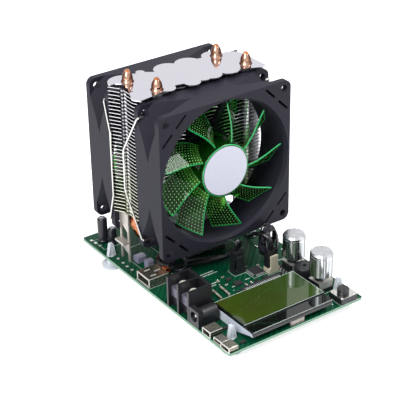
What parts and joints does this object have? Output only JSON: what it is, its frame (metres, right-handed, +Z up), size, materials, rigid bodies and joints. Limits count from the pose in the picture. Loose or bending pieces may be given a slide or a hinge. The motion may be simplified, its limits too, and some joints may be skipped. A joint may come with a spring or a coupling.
{
  "type": "electronic load discharge tester",
  "caption": "Bench discharge tester: a circuit board on standoffs with a display, two knobs, a button, sockets and a screw terminal, and a heat-pipe fin cooler between two fans.",
  "frame": {"origin": "centre of the footprint, on the table under the feet", "axes": "+Z up, +Y from the display towards the rear fan, +X to the right seen from the display"},
  "size_m": [0.1018, 0.156, 0.13],
  "materials": {
    "board_green": "satin",
    "white_nylon": "satin",
    "backlight_diffuser": "satin",
    "display_glass": "gloss",
    "tinned_metal": "satin",
    "black_plastic": "satin",
    "socket_steel": "satin",
    "steel": "satin",
    "plated_brass": "satin",
    "knob_metal": "satin",
    "cream_plastic": "satin",
    "capacitor_sleeve": "gloss",
    "grey_plastic": "matte",
    "aluminium": "satin",
    "copper": "gloss",
    "fan_black": "satin",
    "rotor_green": "gloss",
    "motor_copper": "satin",
    "label_grey": "satin",
    "cable_sleeve": "matte"
  },
  "bodies": {
    "base": {"circuit_board": "board_green", "board_standoffs": "white_nylon", "display_backlight": "backlight_diffuser", "display_glass": "display_glass", "display_pins": "tinned_metal", "main_chip": "black_plastic", "chip_leads": "tinned_metal", "surface_mount_parts": "black_plastic", "current_shunts": "tinned_metal", "quartz_crystal": "socket_steel", "terminal_housing": "black_plastic", "terminal_plates": "plated_brass", "terminal_screws": "steel", "power_jack_housing": "black_plastic", "power_jack_pin": "steel", "usb_a_shell": "socket_steel", "usb_a_tongue": "white_nylon", "mini_usb_shell": "socket_steel", "micro_usb_shell": "socket_steel", "type_c_shell": "socket_steel", "small_socket_tongues": "black_plastic", "potentiometer_bases": "black_plastic", "potentiometer_cases": "socket_steel", "potentiometer_pins": "tinned_metal", "buzzer": "black_plastic", "button_base": "black_plastic", "button_cover": "socket_steel", "fan_headers": "cream_plastic", "header_pins": "tinned_metal", "fan_plugs": "black_plastic", "electrolytic_capacitors": "capacitor_sleeve", "power_transistors": "black_plastic", "power_chokes": "grey_plastic", "cooler_base": "aluminium", "front_heat_pipe": "copper", "rear_heat_pipe": "copper", "fin_stack": "aluminium", "top_fin": "aluminium", "mounting_brackets": "steel", "base_screws": "steel", "front_fan_frame": "fan_black", "front_fan_stator": "motor_copper", "front_fan_lead": "cable_sleeve", "rear_fan_frame": "fan_black", "rear_fan_stator": "motor_copper", "rear_fan_lead": "cable_sleeve", "fan_clips": "steel"},
    "front_rotor": {"front_fan_rotor": "rotor_green", "front_fan_shaft": "steel", "front_fan_label": "label_grey"},
    "rear_rotor": {"rear_fan_rotor": "rotor_green", "rear_fan_shaft": "steel", "rear_fan_label": "label_grey"},
    "coarse_control": {"coarse_shaft": "steel", "coarse_knob": "knob_metal"},
    "fine_control": {"fine_shaft": "steel", "fine_knob": "knob_metal"},
    "push_button": {"button_cap": "black_plastic"}
  },
  "joints": [
    {"name": "front_fan_spin", "type": "hinge", "parent": "base", "child": "front_rotor", "pos_m": [0.0029, 0.0007, 0.0735], "axis": [0, 1, 0], "continuous": true},
    {"name": "rear_fan_spin", "type": "hinge", "parent": "base", "child": "rear_rotor", "pos_m": [0.0029, 0.0529, 0.072], "axis": [0, 1, 0], "continuous": true},
    {"name": "coarse_turn", "type": "hinge", "parent": "base", "child": "coarse_control", "pos_m": [0.0344, -0.031, 0.016], "axis": [0, 0, 1], "range_deg": [-150, 150]},
    {"name": "fine_turn", "type": "hinge", "parent": "base", "child": "fine_control", "pos_m": [0.0344, -0.0562, 0.016], "axis": [0, 0, 1], "range_deg": [-150, 150]},
    {"name": "button_press", "type": "slide", "parent": "base", "child": "push_button", "axis": [0, 0, -1], "range_m": [0, 0.00035], "stiffness_N_per_m": 2500, "springref_m": -0.0004}
  ]
}
